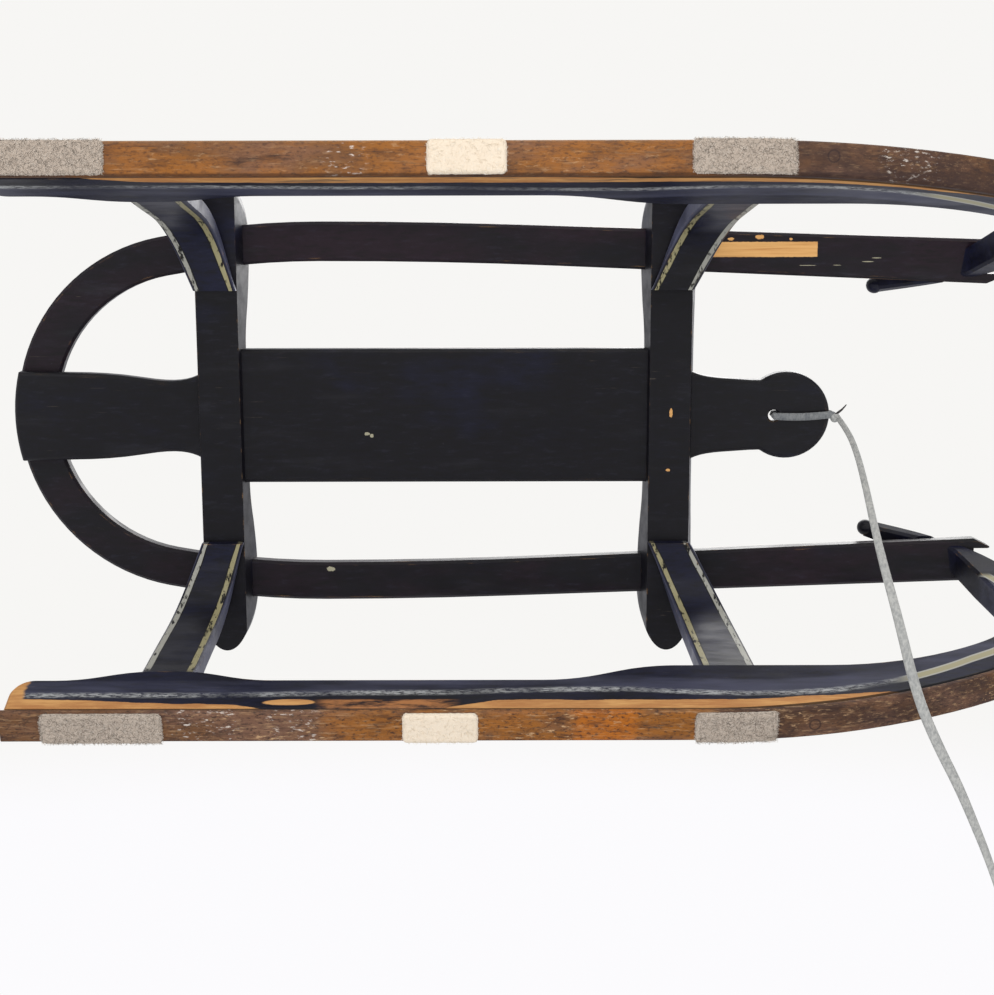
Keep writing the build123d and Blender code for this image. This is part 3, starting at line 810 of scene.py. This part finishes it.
def runner_marks(left):
    """Stripe, painted highlight, bare strip and a painted shadow over the iron, along a runner's inner
    side.
    """

    def marks(mat):
        height = mat.less(above_sole(mat), sole_offset)
        inner = mat.ramp(mat.facing()[2], 0.05, -0.15)
        found = stripe_masks(mat, height, inner)
        edge = mat.profile(mat.x, bare_line_left if left else bare_line_right, line_top)
        uneven = mat.swing("bare_edge", 4.0)
        bare = mat.ramp(mat.add(mat.less(height, edge), uneven), 0.5, -0.3)
        shadow_gap_half = mat.ramp(mat.x, *(shadow_gap_opens_left if left else shadow_gap_opens_right), *shadow_gap_halves)
        # A painted shadow: a dark line on the wood just over the iron, where the crack between them lies in
        # shade
        found["shadow_gap"] = mat.times(mat.band(height, shadow_gap_height, shadow_gap_half, 0.5), inner, 0.85)
        if left:
            bare = left_bare(mat, height, bare, uneven)
        else:
            bare = mat.times(bare, mat.cover("bare_broken", 0.38, 0.47, 0.25, 1.0))
        found["bare"] = mat.times(bare, mat.ramp(mat.facing()[2], 0.35, 0.15))
        worn = mat.times(found["bare"], mat.cover("bare_dirt", 0.34, 0.62, 0.15, 0.85))
        if left:
            mixed = mat.times(mat.between(mat.x, *patchy_along), mat.between(height, *patchy_height))
            patchy = mat.times(mixed, mat.cover("bare_patchy", 0.38, 0.6), inner)
            worn = mat.most(patchy, worn)
        found["worn"] = worn
        for layer, limit in layer_limits.items():
            found[layer] = mat.times(found[layer], mat.ramp(mat.z, limit, limit - layer_fade))
        return found

    return marks


def knee_marks(beam_x, splay, foot_y):
    """Two stripes near the edges of a knee's hollow side, and a painted highlight (sheen) on its flanks,
    which leaves its middle darker.
    """

    def marks(mat):
        share = mat.times(mat.less(mat.side, knee_inner_y), 1 / (foot_y - knee_inner_y))
        middle = mat.add(mat.times(share, splay), beam_x)
        across = mat.less(mat.x, middle)
        aside = mat.add(mat.math("ABSOLUTE", across), mat.swing("knee_wander", 1.2))
        off = mat.less(aside, mat.add(knee_stripe, mat.times(share, knee_stripe_out)))
        level = mat.ramp(mat.math("ABSOLUTE", mat.facing()[0]), 0.66, 0.5)
        hollow = mat.times(mat.ramp(mat.facing()[2], 0.1, -0.15), level)
        half = mat.ramp(share, 0.0, 0.3, 1.5, 2.4)
        stripe = mat.times(mat.band(off, 0.0, half, 0.3), mat.cover("knee_worn", 0.62, 0.52))
        outline = mat.band(off, 0.0, mat.add(half, 0.8), 0.3)
        toward = mat.times(across, 1.0 if splay < 0 else -1.0)
        flank = mat.cover("knee_flank_highlight", 0.3, 0.7, 0.35, 0.95)
        return {
            "stripe": mat.times(stripe, hollow, 0.75),
            "outline": mat.times(outline, hollow),
            "olive": mat.ramp(toward, -2.0, 2.0, 0.35, 1.0),
            # The sheen here is a painted highlight on the knee's flanks
            "sheen": mat.times(mat.ramp(off, 1.5, 3.5), flank),
        }

    return marks


# Bare patch under the right rail and small chips: x, y, half length, half width
rail_patch = (172, -118.2, 37.5, 5.2)
rail_chips = [(147.7, -125.6, 2.2, 1), (168.3, -127, 3.2, 1.6), (190.5, -125.5, 1.2, 0.8)]
rail_pale_chips = [
    (-142.7, 115.2, 3, 1.7),
    (252, -112, 3.4, 0.32),
    (246, -109.4, 4.6, 0.3),
    (203, -106.8, 6, 0.22),
    (224, -106.9, 3, 0.2),
]
slat_pale_chips = [(-113.6, 12.9, 2, 1.2), (-110.2, 14.2, 1.3, 1.2)]
beam_chips = [(105.3, -2.7, 1.2, 3.2), (103.8, 38.8, 1.4, 1)]


def patch(mat, place, ragged, soft):
    """1 inside a rectangle of the underside with uneven edges."""
    x, y, half_long, half_wide = place
    out_x = mat.less(mat.math("ABSOLUTE", mat.less(mat.x, x)), half_long)
    out_y = mat.less(mat.math("ABSOLUTE", mat.less(mat.y, y)), half_wide)
    return mat.ramp(mat.add(mat.most(out_x, out_y), ragged), soft, 0.0)


def chip(mat, place, ragged):
    """1 inside an oval of the underside with a ragged edge."""
    x, y, half_long, half_wide = place
    along = mat.times(mat.less(mat.x, x), 1 / half_long)
    across = mat.times(mat.less(mat.y, y), 1 / half_wide)
    return mat.ramp(mat.add(mat.squares(along, across), ragged), 1.1, 0.9)


def chip_marks(chips, big=None, pale=()):
    """Chips to the wood, a big bare patch, and pale chips, all on the underside."""

    def marks(mat):
        ragged = mat.swing("chip_ragged", 3.0)
        under = mat.ramp(mat.facing()[2], -0.6, -0.8)
        masks = [chip(mat, place, ragged) for place in chips]
        pale_masks = [chip(mat, place, ragged) for place in pale]
        if big:
            masks.append(patch(mat, big, mat.times(ragged, 0.4), 0.3))
        found = {}
        if masks:
            found["bare"] = mat.times(mat.most(*masks), under)
        if pale_masks:
            found["stripe"] = mat.times(mat.most(*pale_masks), under, 0.8)
            found["olive"] = 0.75
        return found

    return marks


# Patches along each shoe, in millimetres: from, to, blend, colour, strength
shoe_patches_left = [
    (-126, -60, 14, rust_gold, 0.7),
    (-34, 112, 16, rust_gold, 0.75),
    (34, 66, 10, rust_orange, 0.5),
    (135, 370, 24, iron_dark_and_shade, 0.75),
]
shoe_patches_right = [
    (-276, -66, 16, rust_gold, 0.7),
    (-12, 106, 16, rust_gold, 0.75),
    (152, 370, 26, iron_dark_and_shade, 0.75),
]

# Pale nicks along each shoe, from and to, and the rivet under its front
nick_places_left = [(-228, -192), (-164, -141)]
nick_places_right = [(222, 250), (-120, -104)]
rivet_x = 187.0
rivet_radius = 3.6

# How strongly crumbs of dirt, flecks and fine lines show on each shoe
shoe_wear_left = (0.9, 0.95, 0.6)
shoe_wear_right = (0.6, 0.4, 0.25)


def iron(name, left):
    """Brown rusted iron with orange patches, scratches along it and pale nicks, and painted light and shade
    along its edges.
    """
    mat = Shader(name)
    patches = shoe_patches_left if left else shoe_patches_right
    nick_places = nick_places_left if left else nick_places_right
    crumbs, flecked, lined = shoe_wear_left if left else shoe_wear_right
    tone = mat.layer(iron_brown, "rust_clouds", 0.38, 0.64, 1.0, iron_mauve)
    for number, (start, end, blend, colour, strength) in enumerate(patches):
        area = mat.between(mat.x, start, end, blend)
        field = mat.noise(*rust_patch_field, rust_patch_shift + number)
        cover = mat.times(mat.ramp(field, 0.36, 0.58, 0.25, 1.0), area, strength)
        tone = mat.mix(cover, tone, colour)
    tone = mat.layer(tone, "rust_dirt", 0.48, 0.70, 0.75, iron_dark_and_shade)
    tone = mat.layer(tone, "rust_crumbs", 0.48, 0.66, crumbs, iron_dark_and_shade)
    fleck_area = mat.cover("fleck_area", 0.42, 0.6, 0.1, flecked)
    tone = mat.mix(mat.times(mat.cover("flecks", 0.56, 0.68), fleck_area), tone, iron_fleck_and_highlight)
    fine = mat.field("rust_fine")
    tone = mat.layer(tone, fine, 0.52, 0.76, lined, iron_fleck_and_highlight)
    streaks = mat.field("pale_streaks")
    tone = mat.layer(tone, streaks, 0.64, 0.74, 0.45, iron_fleck_and_highlight)
    tone = mat.layer(tone, "dark_streaks", 0.60, 0.72, 0.7, iron_dark_and_shade)
    nick_area = mat.most(*[mat.between(mat.x, start, end, 8.0) for start, end in nick_places])
    nicks = mat.times(mat.cover("nicks", 0.56, 0.66), nick_area, 0.7)
    tone = mat.mix(nicks, tone, nick_pale)
    aside = mat.less(mat.side, gauge_half / MM)
    # Painted light and shade on the sole's edges: a painted shadow along the left shoe's outer edge; on the
    # right shoe a painted highlight along the outer edge and painted shade along the inner one
    if left:
        tone = mat.layer(tone, aside, 8.6, 10.6, 0.7, iron_dark_and_shade)
    else:
        tone = mat.layer(tone, aside, 8.8, 10.4, 0.4, iron_fleck_and_highlight)
        tone = mat.layer(tone, aside, -8.8, -10.4, 0.55, iron_dark_and_shade)
    from_rivet = mat.distance(mat.less(mat.x, rivet_x), aside)
    under = mat.ramp(mat.facing()[2], 0.0, -0.3)
    ring = mat.times(mat.band(from_rivet, rivet_radius, 0.35, 0.4), under)
    tone = mat.mix(mat.times(ring, 0.7), tone, iron_dark_and_shade)
    pits = mat.bump(mat.field("pits"), 0.12 * MM, 0.6)
    relief = mat.bump(mat.less(streaks, ring), 0.12 * MM, 0.5, pits)
    rough = mat.ramp(fine, 0.3, 0.8, 0.45, 0.7)
    return mat.finish(tone, rough, relief, metallic=0.05, specular=0.22)


def felt(name, colour, shade, light):
    """Matted fibres in many directions."""
    mat = Shader(name)
    tangle = mat.field("felt_tangle")
    fibres = mat.field("felt_fibres")
    tone = mat.layer(colour, tangle, 0.52, 0.68, 0.6, shade)
    tone = mat.layer(tone, fibres, 0.54, 0.72, 0.6, light)
    lumps = mat.bump(tangle, 0.5 * MM, 0.8)
    relief = mat.bump(fibres, 0.25 * MM, 0.7, lumps)
    return mat.finish(tone, 0.95, relief, specular=0.2, sheen=0.2)


def fibre(name, colour):
    """One tone of loose fibre."""
    mat = Shader(name)
    shaded = tuple(channel * 0.75 for channel in colour)
    tone = mat.mix(mat.field("fibre_change"), shaded, colour)
    return mat.finish(tone, 0.9, None, specular=0.2)


def lace_material(name, colour, shade):
    """A soft worn lace with fine fibres along it."""
    mat = Shader(name)
    strands = mat.field("lace_strands")
    tone = mat.layer(colour, strands, 0.35, 0.7, 0.8, shade)
    tone = mat.layer(tone, "lace_clouds", 0.5, 0.75, 0.35, shade)
    soft = mat.bump(strands, 0.3 * MM, 0.7)
    relief = mat.bump(mat.field("lace_fluff"), 0.15 * MM, 0.6, soft)
    return mat.finish(tone, 0.88, relief, sheen=0.25)


# Felt strips under the shoes: half width, thickness, corners, waviness and mesh
felt_half = 10.7 * MM
felt_thick = 2.45 * MM
felt_top = 0.05 * MM
felt_corner = 3.0 * MM
felt_wave = 0.35 * MM
felt_soft_edge = 1.6 * MM
felt_edge_share = 0.45
felt_lump_share = 0.07
felt_rows = 44
felt_columns = 16

# Loose fibres: width, points, the farthest they reach past the strip, and their rise in the middle
fibre_thick = 0.08 * MM
fibre_points = 4
fibre_reach = 0.9 * MM
fibre_rise = 0.12 * MM

# Pads along each shoe: place, slot, fibres
pads = [
    ("rear", "grey_felt", 3600),
    ("middle", "cream_felt", 500),
    ("front", "grey_felt", 2800),
]
first_seed = 3
seed_step = 4


def sole_point(x, depth, aside, sign):
    """A place under the sole: depth below it, and aside across it, outwards."""
    if x <= rise_x:
        along, up = x, -depth
    else:
        turn = math.asin((x - rise_x) / rise_radius)
        reach = rise_radius + depth
        along, up = rise_x + reach * math.sin(turn), rise_radius - reach * math.cos(turn)
    y = gauge_half + aside * math.cos(sole_tilt) - up * math.sin(lean)
    z = sole_height + aside * math.sin(sole_tilt) + up * math.cos(lean)
    return Vector((along, sign * y, max(z, 0.04 * MM)))


class Pad:
    """A felt strip stuck under a shoe: a matted slab with loose fibres."""

    def __init__(self, node, sign, seed):
        self.sign = sign
        self.seed = seed
        self.chance = random.Random(seed)
        low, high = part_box(node)
        self.half_long = (high.x - low.x) / 2 - 0.5 * MM
        self.centre_x = (high.x + low.x) / 2
        self.mesh = bmesh.new()

    def outline(self, share_long, share_wide):
        """The rounded, slightly uneven outline of the strip."""
        trim_long = felt_corner * max(0.0, abs(share_wide) - 0.72) ** 2 * 5
        trim_wide = felt_corner * max(0.0, abs(share_long) - 0.94) ** 2 * 60
        wave = noise.noise(Vector((share_long * 9, share_wide * 5, self.seed))) * felt_wave
        x = self.centre_x + share_long * (self.half_long - trim_long) + wave
        return x, share_wide * (felt_half - trim_wide + wave)

    def thickness(self, share_long, share_wide):
        """Thinner at the edges, and a little lumpy."""
        edge = min((1 - abs(share_long)) * self.half_long, (1 - abs(share_wide)) * felt_half)
        rounded = min(1.0, felt_edge_share + edge / felt_soft_edge * (1 - felt_edge_share))
        place = Vector((share_long * self.half_long, share_wide * felt_half, 0))
        lumps = noise.noise(place * 480 + Vector((self.seed, 0, 0)))
        return felt_thick * rounded * (1 - felt_lump_share + felt_lump_share * lumps)

    def vertex(self, x, depth, aside):
        return self.mesh.verts.new(sole_point(x, depth, aside, self.sign))

    def layer(self, under):
        """Rows of points over the strip's lower or upper side."""
        grid = []
        for row in range(felt_rows + 1):
            share_long = row / felt_rows * 2 - 1
            line = []
            for column in range(felt_columns + 1):
                share_wide = column / felt_columns * 2 - 1
                x, aside = self.outline(share_long, share_wide)
                depth = self.thickness(share_long, share_wide) if under else felt_top
                line.append(self.vertex(x, depth, aside))
            grid.append(line)
        return grid

    def slab(self):
        """Both sides of the strip, and its rim."""
        lower = self.layer(True)
        upper = self.layer(False)
        for row in range(felt_rows):
            for column in range(felt_columns):
                for grid in (lower, upper):
                    near, far = grid[row], grid[row + 1]
                    self.mesh.faces.new((near[column], far[column], far[column + 1], near[column + 1]))
        rim = [(row, 0) for row in range(felt_rows)]
        rim += [(felt_rows, column) for column in range(felt_columns)]
        rim += [(row, felt_columns) for row in range(felt_rows, 0, -1)]
        rim += [(0, column) for column in range(felt_columns, 0, -1)]
        for (row, column), (next_row, next_column) in zip(rim, rim[1:] + rim[:1]):
            below = (lower[row][column], lower[next_row][next_column])
            above = (upper[next_row][next_column], upper[row][column])
            self.mesh.faces.new(below + above)
        bmesh.ops.recalc_face_normals(self.mesh, faces=self.mesh.faces)
        for face in self.mesh.faces:
            face.smooth = True

    def fibre(self, number):
        """One loose fibre, a thin bent strip. Each fourth lies along the outline."""
        chance = self.chance
        at_edge = number % 4 == 0
        share_long = chance.uniform(-1, 1)
        share_wide = chance.uniform(-1, 1)
        if at_edge and chance.random() < 0.72:
            share_wide = math.copysign(chance.uniform(0.93, 1.0), share_wide)
        elif at_edge:
            share_long = math.copysign(chance.uniform(0.98, 1.0), share_long)
        x, aside = self.outline(share_long, share_wide)
        depth = self.thickness(share_long, share_wide) + chance.uniform(0.02, 0.30) * MM
        length = chance.uniform(0.9, 1.9 if at_edge else 3.2) * MM
        heading = chance.uniform(0, 2 * math.pi)
        bend = chance.uniform(-0.9, 0.9)
        half = fibre_thick * chance.uniform(0.6, 1.1)
        limit_x = self.half_long + fibre_reach
        limit_aside = felt_half + fibre_reach
        before = None
        for index in range(fibre_points):
            share = index / (fibre_points - 1)
            turn = heading + bend * share
            place_x = x + length * share * math.cos(turn)
            place_x = min(max(place_x, self.centre_x - limit_x), self.centre_x + limit_x)
            place_aside = aside + length * share * math.sin(turn)
            place_aside = min(max(place_aside, -limit_aside), limit_aside)
            across_x, across_aside = -math.sin(turn) * half, math.cos(turn) * half
            lift = depth + fibre_rise * math.sin(math.pi * share)
            right = self.vertex(place_x + across_x, lift, place_aside + across_aside)
            left = self.vertex(place_x - across_x, lift, place_aside - across_aside)
            if before:
                face = self.mesh.faces.new((before[0], right, left, before[1]))
                face.material_index = 2 if number % 3 == 0 else 1 - number % 2
            before = (right, left)


def felt_pad(node, sign, seed, fibre_count, materials):
    pad = Pad(node, sign, seed)
    pad.slab()
    for number in range(fibre_count):
        pad.fibre(number)
    data = bpy.data.meshes.new(f"felt_{node}")
    pad.mesh.to_mesh(data)
    pad.mesh.free()
    for material in materials:
        data.materials.append(material)
    piece = link(f"felt_{node}", data)
    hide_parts(node)
    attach(piece, "root")


def make_pads():
    """Six strips: a felt and two tones of fibre for each slot."""
    colours = {
        "grey_felt": [
            felt("grey_felt_mat", felt_grey, felt_dark, felt_light),
            fibre("grey_felt_light", felt_light),
            fibre("grey_felt_dark", felt_thread),
        ],
        "cream_felt": [
            felt("cream_felt_mat", felt_cream, felt_warm, felt_white),
            fibre("cream_felt_light", felt_white),
            fibre("cream_felt_warm", felt_warm),
        ],
    }
    seed = first_seed
    for side, sign in (("left", 1), ("right", -1)):
        for place, slot, count in pads:
            felt_pad(f"pad_{place}_{side}", sign, seed, count, colours[slot])
            seed += seed_step


# In degrees: edges over these stay sharp or are rounded, and faces within the last are one flat
sharp_angle = 30.0
round_angle = 28.0
flat_angle = 0.8
weld_distance = 0.02 * MM
wood_rounding = 0.7 * MM
iron_rounding = 0.4 * MM


def crisp_tree():
    """Flat sides shade flat and curved sides smooth: only edges over the sharp angle stay sharp."""
    tree = bpy.data.node_groups.new("crisp", "GeometryNodeTree")
    tree.interface.new_socket("Geometry", in_out="INPUT", socket_type="NodeSocketGeometry")
    tree.interface.new_socket("Geometry", in_out="OUTPUT", socket_type="NodeSocketGeometry")
    start = add_node(tree, "NodeGroupInput").outputs[0]
    angle = add_node(tree, "GeometryNodeInputMeshEdgeAngle").outputs["Unsigned Angle"]
    drop = {"Geometry": start, "Name": "custom_normal"}
    plain = add_node(tree, "GeometryNodeRemoveAttribute", drop).outputs[0]
    smooth = {"Geometry": plain}
    faces = add_node(tree, "GeometryNodeSetShadeSmooth", smooth, domain="FACE").outputs[0]
    limits = {0: angle, 1: math.radians(sharp_angle)}
    blunt = add_node(tree, "FunctionNodeCompare", limits, data_type="FLOAT", operation="LESS_THAN")
    smooth = {"Geometry": faces, "Shade Smooth": blunt.outputs[0]}
    edges = add_node(tree, "GeometryNodeSetShadeSmooth", smooth, domain="EDGE").outputs[0]
    add_node(tree, "NodeGroupOutput", {0: edges})
    return tree


crisp = crisp_tree()


def dress(node, material, rounding=wood_rounding):
    """Give a CAD node its material, softly rounded edges and true flats."""
    piece = nodes[node]
    piece.data.materials.clear()
    piece.data.materials.append(material)
    weld = piece.modifiers.new("weld", "WELD")
    weld.merge_threshold = weld_distance
    if rounding:
        flats = piece.modifiers.new("flats", "DECIMATE")
        flats.decimate_type = "DISSOLVE"
        flats.angle_limit = math.radians(flat_angle)
    edges = piece.modifiers.new("crisp", "NODES")
    edges.node_group = crisp
    if rounding:
        bevel = piece.modifiers.new("bevel", "BEVEL")
        bevel.width = rounding
        bevel.segments = 2
        bevel.limit_method = "ANGLE"
        bevel.angle_limit = math.radians(round_angle)
        level = piece.modifiers.new("level", "WEIGHTED_NORMAL")
        level.keep_sharp = True


# Knees: place, their beam's X, how far the foot stands from it along X, and the foot's Y, in millimetres
knees = [
    ("rear", rear_beam_x / MM, -22.0, 155.7),
    ("front", front_beam_x / MM, 31.0, 153.6),
]


def dress_all():
    for side in ("left", "right"):
        left = side == "left"
        dress(f"runner_{side}", paint(f"runner_paint_{side}", runner_marks(left), 1.0, 0.7))
        dress(f"shoe_{side}", iron(f"rusty_iron_{side}", left), iron_rounding)
        for place, beam_x, splay, foot_y in knees:
            marks = knee_marks(beam_x, splay, foot_y)
            dress(f"knee_{place}_{side}", paint(f"knee_paint_{place}_{side}", marks, 1.0, 0.6))
    rail_marks = chip_marks(rail_chips, rail_patch, rail_pale_chips)
    dress("seat_hoop", paint("hoop_paint", rail_marks, 0.2, 0.5, 0.8), 0)
    dress("seat_slat", paint("slat_paint", chip_marks([], None, slat_pale_chips), 0.3, 0.35))
    dress("beam_rear", paint("rear_beam_paint", None, 0.4, 0.6))
    dress("beam_front", paint("front_beam_paint", chip_marks(beam_chips), 0.4, 0.6))
    make_pads()
    grey_lace = lace_material("grey_lace", lace_grey, lace_shade)
    held_lace = lace_material("held_lace", lace_shade, lace_dull)
    dark_lace = lace_material("dark_lace", lace_dark, dark_line)
    for piece in [cord] + cord_pieces:
        material = {"lace_loop": held_lace, "lace_tail": dark_lace}.get(piece.name, grey_lace)
        piece.data.materials.append(material)


dress_all()

bpy.context.scene.view_settings.view_transform = "Standard"
